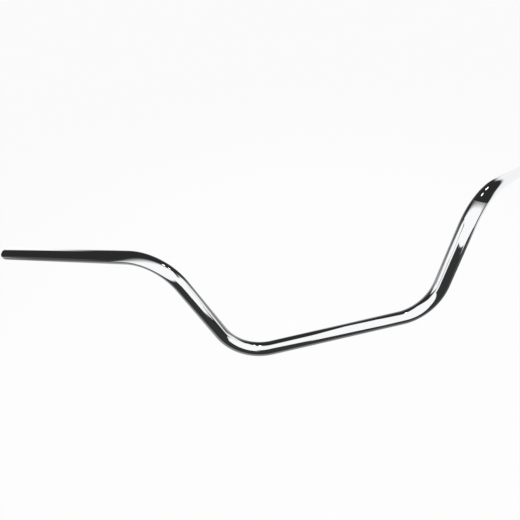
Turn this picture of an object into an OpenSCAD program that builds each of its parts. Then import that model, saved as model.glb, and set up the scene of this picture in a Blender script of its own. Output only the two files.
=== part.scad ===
// A motorcycle handlebar bent from one round steel tube.
// Sizes are in millimetres and angles in degrees.
// The origin is the middle of the centre stretch, on the tube's own axis.
// +X runs along the centre stretch towards the rider's left hand.
// +Y points back to the rider and +Z points up.

/* [Tube] */

// outside diameter of the tube
tube_diameter = 22.2; // [19:0.1:32]
// thickness of the tube's wall
wall_thickness = 2; // [1.2:0.1:4]
// width of the small bevel on both edges of each cut end
end_bevel = 0.4; // [0.2:0.1:0.6]
// how much thinner the wall is drawn on each face where the tube is bent
bend_thinning = 0.05; // [0.03:0.01:0.2]

/* [Centre stretch] */

// length of the straight stretch that the clamps hold
centre_length = 250; // [80:1:400]

/* [Lower bends] */

// angle through which each side turns up out of the centre stretch
lower_bend_angle = 68.5; // [30:0.5:90]
// radius of the tube's axis in a lower bend
lower_bend_radius = 88; // [50:1:140]

/* [Uprights] */

// length of the straight stretch between a lower and an upper bend
upright_length = 110; // [20:1:250]
// angle at which the uprights lean back towards the rider
upright_lean = 27; // [0:1:60]

/* [Upper bends] */

// angle through which each side turns out of its upright
upper_bend_angle = 63; // [30:0.5:100]
// radius of the tube's axis in an upper bend
upper_bend_radius = 95; // [50:1:140]
// turn of an upper bend's plane about its upright, towards the rider
upper_bend_turn = 19; // [0:1:60]

/* [Grip stretches] */

// length of the straight stretch that carries a grip and its controls
grip_length = 262; // [150:1:350]

/* [Hidden] */

// facets asked for on each circle
$fn = 96;
// radius of the tube's outside
outer_radius = tube_diameter / 2;
// radius of the hole along the tube
bore_radius = outer_radius - wall_thickness;
// how far each end of a bend reaches into the straight stretch beside it
bend_lap = 1;
// colour of the plated steel
plated_steel = [0.8, 0.81, 0.82];

// The tube cut square across, with so much taken off each face of its wall.
module tube_section(thinning = 0) {
    difference() {
        circle(outer_radius - thinning);
        circle(bore_radius + thinning);
    }
}

// A straight stretch of tube from the origin along +X.
module straight(length) {
    rotate([0, 90, 0])
        linear_extrude(length)
            tube_section();
}

// A stretch of tube that leaves the origin along +X and curves up to +Z.
// Its slightly thinner wall ends inside the walls of the straight stretches.
module bend(radius, angle) {
    lap_angle = bend_lap / radius * 180 / PI;
    translate([0, 0, radius])
        rotate([90, 90, 0])
            rotate_extrude(angle = angle + 2 * lap_angle, start = -lap_angle)
                translate([radius, 0])
                    tube_section(bend_thinning);
}

// Puts its children where such a bend ends, facing along the tube.
module after_bend(radius, angle) {
    translate([0, 0, radius])
        rotate([0, -angle, 0])
            translate([0, 0, -radius])
                children();
}

// The last straight stretch, open at its far end, with both edges of the cut bevelled.
module grip_stretch() {
    rotate([0, 90, 0])
        rotate_extrude()
            polygon([
                [bore_radius, 0],
                [outer_radius, 0],
                [outer_radius, grip_length - end_bevel],
                [outer_radius - end_bevel, grip_length],
                [bore_radius + end_bevel, grip_length],
                [bore_radius, grip_length - end_bevel]
            ]);
}

// One side from the upper bend outwards, starting at the top of its upright.
// The bend turns outwards again, with its plane swung round towards the rider.
module upper_side() {
    rotate([180 + upper_bend_turn, 0, 0]) {
        bend(upper_bend_radius, upper_bend_angle);
        after_bend(upper_bend_radius, upper_bend_angle)
            grip_stretch();
    }
}

// One whole side, starting at the end of the centre stretch.
module side() {
    bend(lower_bend_radius, lower_bend_angle);
    after_bend(lower_bend_radius, lower_bend_angle) {
        straight(upright_length);
        translate([upright_length, 0, 0])
            upper_side();
    }
}

// The whole bar, leant back as it stands on the motorcycle.
module handlebar() {
    color(plated_steel)
        rotate([-upright_lean, 0, 0]) {
            translate([-centre_length / 2, 0, 0])
                straight(centre_length);
            translate([centre_length / 2, 0, 0])
                side();
            mirror([1, 0, 0])
                translate([centre_length / 2, 0, 0])
                    side();
        }
}

handlebar();
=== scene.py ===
# %% [markdown]
# # A chrome handlebar
# The object is a motorcycle handlebar: one round steel tube, bent in four places
# and chrome plated. It has no other piece, so the whole likeness rests on two
# things: bends that are true circles joined smoothly to straight stretches, and
# plating that mirrors pale cards in a dark room.
#
# The imported CAD model is loaded first, because it fixes where everything is.
# Its box is kept.

# %% Load the fixed frame
import math
import bmesh
import bpy
from mathutils import Matrix, Vector


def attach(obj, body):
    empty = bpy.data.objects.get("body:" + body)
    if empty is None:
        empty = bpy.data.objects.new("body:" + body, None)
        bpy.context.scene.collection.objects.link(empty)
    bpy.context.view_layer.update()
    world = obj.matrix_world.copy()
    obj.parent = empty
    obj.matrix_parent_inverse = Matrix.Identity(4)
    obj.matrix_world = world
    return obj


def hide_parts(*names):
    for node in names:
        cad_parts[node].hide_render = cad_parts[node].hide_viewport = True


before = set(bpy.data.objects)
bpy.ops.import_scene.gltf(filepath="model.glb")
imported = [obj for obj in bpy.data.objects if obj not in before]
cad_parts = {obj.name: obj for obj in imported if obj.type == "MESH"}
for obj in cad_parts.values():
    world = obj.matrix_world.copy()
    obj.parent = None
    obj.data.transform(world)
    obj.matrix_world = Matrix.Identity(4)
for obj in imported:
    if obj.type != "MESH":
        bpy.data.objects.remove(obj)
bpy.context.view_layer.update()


def in_mm(place):
    return [round(1000 * x, 1) for x in place]


print("nodes:", sorted(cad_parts))

# %% [markdown]
# ## The sizes that a tube bender is given
# A bar like this is made on a machine that feeds a straight tube forward, turns
# it about its own axis and bends it round a die. So the whole shape is a short
# list of feeds, turns and bends. The same sizes, in metres and degrees, drive
# this model, from the middle of the centre stretch out to one open end.
#
# The CAD model's own mesh is made of flat facets, which lie a little inside the
# true circle. This finer tube is drawn a few hundredths of a millimetre under
# size, so that it stays inside the box of the CAD model.

# %% Tube and bend sizes
tube_diameter = 0.0222
wall_thickness = 0.002
facet_allowance = 0.00006

half_centre = 0.125
lower_bend_radius = 0.088
lower_bend_angle = 68.5
upright_length = 0.110
upright_lean = 27
upper_bend_turn = 19
upper_bend_radius = 0.095
upper_bend_angle = 63
grip_length = 0.262

outer_radius = tube_diameter / 2 - facet_allowance
bore_radius = tube_diameter / 2 - wall_thickness
drawn_length = (
    2 * (half_centre + upright_length + grip_length)
    + 2 * math.radians(lower_bend_angle) * lower_bend_radius
    + 2 * math.radians(upper_bend_angle) * upper_bend_radius
)
print(f"straight tube needed: {drawn_length:.3f} m of {1000 * tube_diameter:.1f} mm tube")

# %% [markdown]
# ## Starting from a ring
# The tube could be a curve with a round bevel, but a curve gives no wall and no
# open mouth. It could be a cylinder with a deform modifier, but then the bends
# are only nearly round. Here a bmesh starts from two circles, the outside and
# the bore, and extrude and spin carry both along together, as the die does.
#
# Every point also remembers where it was in the straight tube before bending.
# The materials' patterns read that attribute, so they follow the bends without
# stretching.

# %% Two rings, side by side
around = 96
bar_mesh = bmesh.new()
straight_tube = bar_mesh.verts.layers.float_vector.new("straight_tube")

facing_along = Matrix.Rotation(math.radians(90), 4, "Y")
for radius in (outer_radius, bore_radius):
    bmesh.ops.create_circle(bar_mesh, segments=around, radius=radius, matrix=facing_along)
for point in bar_mesh.verts:
    point[straight_tube] = point.co
front = list(bar_mesh.edges)
print(f"start: {len(bar_mesh.verts)} points, {len(front)} edges in two rings")

# %% [markdown]
# ## Feed, turn and bend
# Three small helpers do what the machine does. `heading` is where the die
# stands now: its X axis runs along the tube and its Z axis is the way the tube
# will bend. Extrude makes a straight stretch and spin makes a bend. The spin is
# done in short steps so that each new ring can be told how far along it is.

# %% Feed a straight stretch
heading = Matrix.Identity(4)
fed = 0.0


def new_edges(made):
    return [part for part in made if isinstance(part, bmesh.types.BMEdge)]


def mark_ring(edges, along):
    for point in {p for edge in edges for p in edge.verts}:
        old = point[straight_tube]
        point[straight_tube] = (along, old.y, old.z)


def feed(length, steps=1):
    global front, heading, fed
    for _ in range(steps):
        made = bmesh.ops.extrude_edge_only(bar_mesh, edges=front)["geom"]
        points = [part for part in made if isinstance(part, bmesh.types.BMVert)]
        push = heading.to_3x3() @ Vector((length / steps, 0, 0))
        bmesh.ops.translate(bar_mesh, verts=points, vec=push)
        front = new_edges(made)
        fed += length / steps
        mark_ring(front, fed)
    heading = heading @ Matrix.Translation((length, 0, 0))


print("the tube is fed along its X axis, from", in_mm(heading.translation))

# %% Turn it and bend it


def turn(degrees):
    global heading
    heading = heading @ Matrix.Rotation(math.radians(degrees), 4, "X")


def bend(radius, degrees, steps):
    global front, heading, fed
    die = heading @ Vector((0, 0, radius))
    axle = heading.to_3x3() @ Vector((0, -1, 0))
    for _ in range(steps):
        made = bmesh.ops.spin(
            bar_mesh, geom=front, cent=die, axis=axle,
            angle=math.radians(degrees / steps), steps=1, use_duplicate=False,
        )["geom_last"]
        front = new_edges(made)
        fed += math.radians(degrees) * radius / steps
        mark_ring(front, fed)
    to_die = Matrix.Translation((0, 0, radius))
    swing = Matrix.Rotation(math.radians(-degrees), 4, "Y")
    heading = heading @ to_die @ swing @ to_die.inverted()


print("the dies' radii in mm:", in_mm((lower_bend_radius, upper_bend_radius)))

# %% [markdown]
# ## Half a bar
# The half from the middle to the rider's left end is made first. After the
# upright the tube is turned over and a little more, because the upper bend goes
# outwards again and swings back towards the rider.
#
# The last two millimetres get a ring of their own. Smooth shading blends the
# direction of the surface from one ring to the next, so without it the bevel at
# the cut end would bend the reflections along the last few centimetres.

# %% Run the bender's list
end_band = 0.002

feed(half_centre, steps=4)
bend(lower_bend_radius, lower_bend_angle, steps=30)
feed(upright_length, steps=3)
turn(180 + upper_bend_turn)
bend(upper_bend_radius, upper_bend_angle, steps=28)
feed(grip_length - end_band, steps=6)
feed(end_band)
print(f"half the bar is {fed:.3f} m long and ends at", in_mm(heading.translation))

# %% [markdown]
# ## The cut end
# A bar is sawn off square and both edges of the cut are broken, so that a grip
# slides on. The two last rings are bridged, which closes the end of the wall,
# and the two sharp edges get a small bevel.
#
# Extrude and spin made the outside and the bore alike, so the bore's faces point
# away from the axis too. They are turned to face into the bore first, because a
# bridge joins two rings the way their faces run: with both alike it crosses over
# and shuts the mouth.

# %% Turn the bore's faces inwards
half_wall = (outer_radius + bore_radius) / 2


def off_axis(face):
    return max(math.hypot(p[straight_tube].y, p[straight_tube].z) for p in face.verts)


bore_faces = [face for face in bar_mesh.faces if off_axis(face) < half_wall]
bmesh.ops.reverse_faces(bar_mesh, faces=bore_faces)
print("bore faces turned:", len(bore_faces))

# %% Close and bevel the wall's end
end_bevel = 0.0004

rim = front[:]
bmesh.ops.bridge_loops(bar_mesh, edges=rim)
bmesh.ops.bevel(
    bar_mesh, geom=rim, offset=end_bevel, affect="EDGES",
    segments=3, profile=0.5, material=-1,
)
print("points after the bevel:", len(bar_mesh.verts))

# %% [markdown]
# ## Mirror, lean and check
# The other half is a mirror of the first, joined at the middle ring. A mirror
# turns faces inside out, so the normals are worked out again after the doubles
# are merged. Then the bar is leant back, as such a bar stands on a motorcycle.
#
# The volume of steel is a good check of the normals. If the bore faced the wrong
# way, the tube would count as a solid rod and more.

# %% Both halves
merge_distance = 0.00001

bmesh.ops.mirror(
    bar_mesh, geom=bar_mesh.verts[:] + bar_mesh.edges[:] + bar_mesh.faces[:],
    axis="X", merge_dist=merge_distance,
)
bmesh.ops.remove_doubles(bar_mesh, verts=bar_mesh.verts, dist=merge_distance)
bmesh.ops.recalc_face_normals(bar_mesh, faces=bar_mesh.faces)
bmesh.ops.rotate(
    bar_mesh, verts=bar_mesh.verts, cent=(0, 0, 0),
    matrix=Matrix.Rotation(math.radians(-upright_lean), 3, "X"),
)
open_edges = [edge for edge in bar_mesh.edges if not edge.is_manifold]
print(f"faces: {len(bar_mesh.faces)}, open edges: {len(open_edges)}, "
      f"steel: {bar_mesh.calc_volume(signed=True) * 1e9:.0f} mm3")

# %% Inside and outside
for face in bar_mesh.faces:
    face.smooth = True
    face.material_index = 1 if off_axis(face) < half_wall else 0

bar_data = bpy.data.meshes.new("handlebar_tube")
bar_mesh.to_mesh(bar_data)
bar_mesh.free()
handlebar_tube = bpy.data.objects.new("handlebar_tube", bar_data)
bpy.context.scene.collection.objects.link(handlebar_tube)
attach(handlebar_tube, "root")
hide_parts("handlebar")
print("triangles:", sum(len(f.vertices) - 2 for f in bar_data.polygons))

# %% [markdown]
# ## Node helpers
# Materials are built from nodes. One helper adds a node and sets its values and
# links in one call, which keeps each material readable.

# %% Helpers for nodes


def add_node(tree, kind, inputs=None, **settings):
    node = tree.nodes.new(kind)
    for name, value in settings.items():
        setattr(node, name, value)
    for name, value in (inputs or {}).items():
        if isinstance(value, bpy.types.NodeSocket):
            tree.links.new(value, node.inputs[name])
        else:
            node.inputs[name].default_value = value
    return node


def new_material(name):
    material = bpy.data.materials.new(name)
    material.use_nodes = True
    material.node_tree.nodes.clear()
    return material


print("a material starts empty, with", len(bar_data.materials), "on the bar so far")

# %% [markdown]
# ## Chrome plating
# Bright chrome is a mirror with a very slightly blue-grey tint. A perfect mirror
# looks computed, so two of a real plate's small faults are added: a faint orange
# peel left by the steel below, in dimples about four millimetres across, and
# cloudy patches under two centimetres across, where the plate is a little duller
# and less sharp.

# %% Sizes and tints of the plate's faults
clear_plate = (0.80, 0.81, 0.82, 1)
cloudy_plate = (0.76, 0.77, 0.78, 1)
sharpest = 0.025
least_sharp = 0.055
patches_per_metre = 60.0
dimples_per_metre = 260.0
dimple_strength = 0.06
dimple_depth = 0.0001
print("patches and dimples in mm:", in_mm((1 / patches_per_metre, 1 / dimples_per_metre)))

# %% Chrome
plating = new_material("bright_chrome_plate")
tree = plating.node_tree
tube_place = add_node(tree, "ShaderNodeAttribute", attribute_name="straight_tube")
clouds = add_node(tree, "ShaderNodeTexNoise",
                  {"Vector": tube_place.outputs["Vector"], "Scale": patches_per_metre,
                   "Detail": 4.0})
cloudiness = add_node(tree, "ShaderNodeMapRange",
                      {"Value": clouds.outputs["Fac"], "From Min": 0.35, "From Max": 0.7,
                       "To Min": sharpest, "To Max": least_sharp})
tint = add_node(tree, "ShaderNodeMix",
                {"Factor": clouds.outputs["Fac"], "A": clear_plate, "B": cloudy_plate},
                data_type="RGBA")
peel = add_node(tree, "ShaderNodeTexNoise",
                {"Vector": tube_place.outputs["Vector"], "Scale": dimples_per_metre,
                 "Detail": 2.0})
peel_bump = add_node(tree, "ShaderNodeBump",
                     {"Height": peel.outputs["Fac"], "Strength": dimple_strength,
                      "Distance": dimple_depth})
plate = add_node(tree, "ShaderNodeBsdfPrincipled",
                 {"Base Color": tint.outputs["Result"], "Metallic": 1.0,
                  "Roughness": cloudiness.outputs["Result"],
                  "Normal": peel_bump.outputs["Normal"]})
add_node(tree, "ShaderNodeOutputMaterial", {"Surface": plate.outputs["BSDF"]})
bar_data.materials.append(plating)
print("chrome nodes:", len(tree.nodes))

# %% [markdown]
# ## The bare bore
# The plate hardly reaches inside the tube, so the bore shows dull drawn steel:
# dark grey, streaked along its length by the drawing die. Clean cut steel would
# be a metallic surface. Drawn steel has a thin dark skin that is not a metal, so
# this surface is a rough non-metal with little gloss, and the bore goes dark with
# its depth.

# %% Sizes and colours of the bore's streaks
dark_streak = (0.09, 0.085, 0.08, 1)
pale_streak = (0.22, 0.21, 0.20, 1)
streaks_along_and_across = (8.0, 300.0, 300.0)
skin_roughness = 0.7
skin_gloss = 0.15
print("streaks per metre, along and across:", streaks_along_and_across[:2])

# %% Bare steel inside
bare_steel = new_material("drawn_steel_bore")
tree = bare_steel.node_tree
tube_place = add_node(tree, "ShaderNodeAttribute", attribute_name="straight_tube")
stretched = add_node(tree, "ShaderNodeMapping",
                     {"Vector": tube_place.outputs["Vector"], "Scale": streaks_along_and_across})
streaks = add_node(tree, "ShaderNodeTexNoise",
                   {"Vector": stretched.outputs["Vector"], "Scale": 1.0, "Detail": 5.0})
streak_colour = add_node(tree, "ShaderNodeMix",
                         {"Factor": streaks.outputs["Fac"], "A": dark_streak, "B": pale_streak},
                         data_type="RGBA")
bore_surface = add_node(tree, "ShaderNodeBsdfPrincipled",
                        {"Base Color": streak_colour.outputs["Result"],
                         "Metallic": 0.0, "Roughness": skin_roughness,
                         "Specular IOR Level": skin_gloss})
add_node(tree, "ShaderNodeOutputMaterial", {"Surface": bore_surface.outputs["BSDF"]})
bar_data.materials.append(bare_steel)
print("bore nodes:", len(tree.nodes))

# %% [markdown]
# ## Camera
# The photograph is taken from the front and above, close to the bar with a wide
# lens, which is why the near parts look thick and the far ends thin. The
# camera's place, turn and lens were fitted to the bar's outline in the
# photograph, together with the sizes of the bar. The small shift moves the bar
# to its place in the frame.

# %% Camera
camera_place = (-0.1194, -0.1291, 0.4225)
camera_turn = (48.30, 6.51, -9.55)
lens_length = 14.12
film_width = 36
shift_right = -0.001
shift_up = -0.0737
nearest_seen = 0.01

camera_data = bpy.data.cameras.new("camera")
camera_data.sensor_width = film_width
camera_data.lens = lens_length
camera_data.shift_x = shift_right
camera_data.shift_y = shift_up
camera_data.clip_start = nearest_seen
camera = bpy.data.objects.new("camera", camera_data)
camera.location = camera_place
camera.rotation_euler = [math.radians(a) for a in camera_turn]
bpy.context.scene.collection.objects.link(camera)
bpy.context.scene.camera = camera
print("camera is", round(camera.location.length, 3), "m from the clamp")

# %% [markdown]
# ## The white floor
# The bar floats above a seamless white floor, as on a studio sweep. The floor is
# matt, but most of what the camera and the bar's own reflections see of it is a
# glow of a set strength. That keeps it white without more light on the bar, and
# the matt share that is left still takes the bar's shadow.
#
# The bar's edges mirror the floor. In the photograph they are pale in some places
# and dark in others, as if the floor were lit only near by. So the glow that
# reflections see is a round pool, which fades with the distance from its middle.

# %% Floor plane
floor_depth = 0.40
floor_reach = 30.0

floor_mesh = bmesh.new()
bmesh.ops.create_grid(floor_mesh, x_segments=1, y_segments=1, size=floor_reach)
bmesh.ops.translate(floor_mesh, verts=floor_mesh.verts, vec=(0, 0, -floor_depth))
floor_data = bpy.data.meshes.new("white_floor")
floor_mesh.to_mesh(floor_data)
floor_mesh.free()
white_floor = bpy.data.objects.new("white_floor", floor_data)
bpy.context.scene.collection.objects.link(white_floor)
print(f"floor: {floor_depth} m below the clamp")

# %% Floor levels
dark_room = 0.03
white_level = 0.96
even_light = 0.6
floor_colour = 0.8
matt_share = 0.12
pool_middle = (-0.4, 0.6, 0)
pool_radius = 1.0
pool_fade = 1.6
mirrored_floor = 0.5

glow_for_camera = (white_level - matt_share * floor_colour * even_light) / (1 - matt_share)
print("glow that the camera sees:", round(glow_for_camera, 3))

# %% Floor material
floor_white = new_material("floor_white")
tree = floor_white.node_tree
place = add_node(tree, "ShaderNodeTexCoord")
flat_place = add_node(tree, "ShaderNodeVectorMath",
                      {0: place.outputs["Object"], 1: (1, 1, 0)}, operation="MULTIPLY")
from_pool = add_node(tree, "ShaderNodeVectorMath",
                     {0: flat_place.outputs["Vector"], 1: pool_middle}, operation="DISTANCE")
pool = add_node(tree, "ShaderNodeMapRange",
                {"Value": from_pool.outputs["Value"],
                 "From Min": pool_radius - pool_fade / 2, "From Max": pool_radius + pool_fade / 2,
                 "To Min": mirrored_floor, "To Max": dark_room}, interpolation_type="SMOOTHSTEP")
rays = add_node(tree, "ShaderNodeLightPath")
glow_level = add_node(tree, "ShaderNodeMix",
                      {"Factor": rays.outputs["Is Glossy Ray"], "A": glow_for_camera,
                       "B": pool.outputs["Result"]})
matt = add_node(tree, "ShaderNodeBsdfDiffuse",
                {"Color": (floor_colour, floor_colour, floor_colour, 1)})
glow = add_node(tree, "ShaderNodeEmission",
                {"Color": (1, 1, 1, 1), "Strength": glow_level.outputs["Result"]})
seen = add_node(tree, "ShaderNodeMath",
                {0: rays.outputs["Is Camera Ray"], 1: rays.outputs["Is Glossy Ray"]},
                operation="MAXIMUM")
share = add_node(tree, "ShaderNodeMath", {0: seen.outputs[0], 1: 1 - matt_share},
                 operation="MULTIPLY")
blend = add_node(tree, "ShaderNodeMixShader",
                 {"Fac": share.outputs[0], 1: matt.outputs["BSDF"], 2: glow.outputs["Emission"]})
add_node(tree, "ShaderNodeOutputMaterial", {"Surface": blend.outputs["Shader"]})
floor_data.materials.append(floor_white)
print("floor nodes:", len(tree.nodes))

# %% [markdown]
# ## What the chrome mirrors
# Chrome has almost no colour of its own: its bands of black and white are the
# studio. A photographer lights it with pale cards in a dark room, and the edge of
# each card becomes the edge of a band. So the studio is built the same way. A
# card is a flat sheet that glows at a set level, with an edge that fades over a
# set width. Only reflections see the cards: they hide neither the bar nor the
# floor, cast no shadow, and light nothing else.
#
# A card faces along a compass direction, counted from +X towards +Y, and is
# tilted up by an angle from level.

# %% What a card is made of


def card_material(name, width, height, fade, level):
    material = new_material(name)
    tree = material.node_tree
    uv = add_node(tree, "ShaderNodeUVMap", uv_map="card_uv")
    split = add_node(tree, "ShaderNodeSeparateXYZ", {"Vector": uv.outputs["UV"]})
    inside = []
    for side, size in (("X", height), ("Y", width)):
        off_middle = add_node(tree, "ShaderNodeMath", {0: split.outputs[side], 1: 0.5},
                              operation="SUBTRACT")
        off = add_node(tree, "ShaderNodeMath", {0: off_middle.outputs[0]}, operation="ABSOLUTE")
        edge = add_node(tree, "ShaderNodeMapRange",
                        {"Value": off.outputs[0], "From Min": 0.5, "From Max": 0.5 - fade / size,
                         "To Min": 0.0, "To Max": 1.0}, interpolation_type="SMOOTHSTEP")
        inside.append(edge.outputs["Result"])
    cover = add_node(tree, "ShaderNodeMath", {0: inside[0], 1: inside[1]}, operation="MULTIPLY")
    clear = add_node(tree, "ShaderNodeBsdfTransparent")
    glow = add_node(tree, "ShaderNodeEmission", {"Color": (1, 1, 1, 1), "Strength": level})
    blend = add_node(tree, "ShaderNodeMixShader",
                     {"Fac": cover.outputs[0], 1: clear.outputs["BSDF"],
                      2: glow.outputs["Emission"]})
    add_node(tree, "ShaderNodeOutputMaterial", {"Surface": blend.outputs["Shader"]})
    return material


# %% Where a card stands


def studio_card(name, middle, faces, tilt, width, height, fade, level):
    mesh = bmesh.new()
    mesh.loops.layers.uv.new("card_uv")
    bmesh.ops.create_grid(mesh, x_segments=1, y_segments=1, size=0.5, calc_uvs=True)
    bmesh.ops.scale(mesh, vec=(height, width, 1), verts=mesh.verts)
    stand = (Matrix.Translation(middle)
             @ Matrix.Rotation(math.radians(faces), 4, "Z")
             @ Matrix.Rotation(math.radians(90 - tilt), 4, "Y"))
    bmesh.ops.transform(mesh, matrix=stand, verts=mesh.verts)
    data = bpy.data.meshes.new(name)
    mesh.to_mesh(data)
    mesh.free()
    data.materials.append(card_material(name, width, height, fade, level))
    card = bpy.data.objects.new(name, data)
    bpy.context.scene.collection.objects.link(card)
    card.visible_camera = False
    card.visible_diffuse = False
    card.visible_transmission = False
    card.visible_shadow = False
    print(f"{name}: {width} x {height} m, level {level}")


# %% [markdown]
# ## Pale cards
# Left and right are the picture's here. The overhead sheet is the white band
# along the centre stretch, through both lower bends and into the left upright,
# and the long white shape in the right upper bend. The left strip is the wedge in
# the left upper bend and a line on the right upright. The far left wall whitens
# the left part of the right upright. The right hand card lights the right grip
# and draws the thin line down the left upright. The front right card adds a few
# thin lines beside the overhead sheet's band.
#
# Most of these places were found by search programs that tried many layouts
# against the tones in the photograph, in steps of five centimetres and five
# degrees, and a few were then moved. The levels were set so that the brightest
# bands are just below pure white.

# %% Pale cards
studio_card("overhead_sheet", middle=(0.35, -0.35, 0.27), faces=45, tilt=70,
            width=1.20, height=0.55, fade=0.03, level=1.2)
studio_card("right_hand_card", middle=(0.90, 0.15, 0.20), faces=200, tilt=0,
            width=1.10, height=0.90, fade=0.20, level=1.1)
studio_card("front_right_card", middle=(0.55, -1.15, 0.70), faces=165, tilt=-40,
            width=1.25, height=1.00, fade=0.10, level=1.2)
studio_card("left_strip", middle=(-0.65, -0.15, 0.10), faces=20, tilt=-70,
            width=0.25, height=1.80, fade=0.05, level=1.2)
studio_card("far_left_wall", middle=(-2.05, 1.05, 0.15), faces=155, tilt=-30,
            width=2.40, height=2.40, fade=0.50, level=1.2)

# %% [markdown]
# ## Small lamps
# The photograph has two or three small bright specks in each upper bend and near
# the left end of the centre stretch. They look like mirror images of small lamps,
# so two small bright cards stand high up behind the bar.

# %% Two small lamps
studio_card("small_lamp_near", middle=(0.25, 0.55, 0.80), faces=240, tilt=-50,
            width=0.12, height=0.12, fade=0.03, level=5.0)
studio_card("small_lamp_far", middle=(0.45, 0.60, 0.70), faces=240, tilt=-50,
            width=0.12, height=0.12, fade=0.03, level=5.0)

# %% [markdown]
# ## Dark cards
# The black bands need something dark to mirror where the pale floor or another
# card would show otherwise. The wall in front is the lower black band along the
# centre stretch and the broad one down both uprights. The wall behind is a thin
# dark line near the bar's upper edge. Their places come from the same searches as
# the pale cards' places.

# %% Dark cards
studio_card("dark_wall_behind", middle=(0.25, 1.05, 0.25), faces=30, tilt=-40,
            width=1.0, height=1.95, fade=0.30, level=dark_room)
studio_card("dark_wall_in_front", middle=(-0.35, -1.10, 0.35), faces=75, tilt=15,
            width=3.95, height=3.45, fade=0.40, level=0.04)

# %% [markdown]
# ## Room
# Behind the cards reflections see the dark room. The camera sees white there, so
# that floor and background meet without a line. The rest of the world gives even
# light at a plain level.

# %% World
world = bpy.data.worlds.new("studio")
bpy.context.scene.world = world
world.use_nodes = True
tree = world.node_tree
tree.nodes.clear()
rays = add_node(tree, "ShaderNodeLightPath")
even = add_node(tree, "ShaderNodeBackground", {"Color": (1, 1, 1, 1), "Strength": even_light})
dark = add_node(tree, "ShaderNodeBackground", {"Color": (1, 1, 1, 1), "Strength": dark_room})
white = add_node(tree, "ShaderNodeBackground", {"Color": (1, 1, 1, 1), "Strength": white_level})
mirrored = add_node(tree, "ShaderNodeMixShader",
                    {"Fac": rays.outputs["Is Glossy Ray"], 1: even.outputs["Background"],
                     2: dark.outputs["Background"]})
blend = add_node(tree, "ShaderNodeMixShader",
                 {"Fac": rays.outputs["Is Camera Ray"], 1: mirrored.outputs["Shader"],
                  2: white.outputs["Background"]})
add_node(tree, "ShaderNodeOutputWorld", {"Surface": blend.outputs["Shader"]})
print("even light:", even_light, "dark room:", dark_room, "white:", white_level)

# %% [markdown]
# ## Lamp
# One large lamp above gives the floor its soft, faint shadow. Reflections don't
# see it, because the cards are already there for them.

# %% Lamp
lamp_width = 1.2
lamp_power = 12
lamp_place = (0, 0.1, 1.6)

lamp_data = bpy.data.lights.new("soft_lamp", "AREA")
lamp_data.shape = "SQUARE"
lamp_data.size = lamp_width
lamp_data.energy = lamp_power
soft_lamp = bpy.data.objects.new("soft_lamp", lamp_data)
soft_lamp.location = lamp_place
soft_lamp.visible_glossy = False
bpy.context.scene.collection.objects.link(soft_lamp)
print("lamp:", lamp_power, "W,", lamp_width, "m wide")

# %% [markdown]
# ## Colours as they are
# The standard view shows each colour as it is written.

# %% Colours as they are
bpy.context.scene.view_settings.view_transform = "Standard"
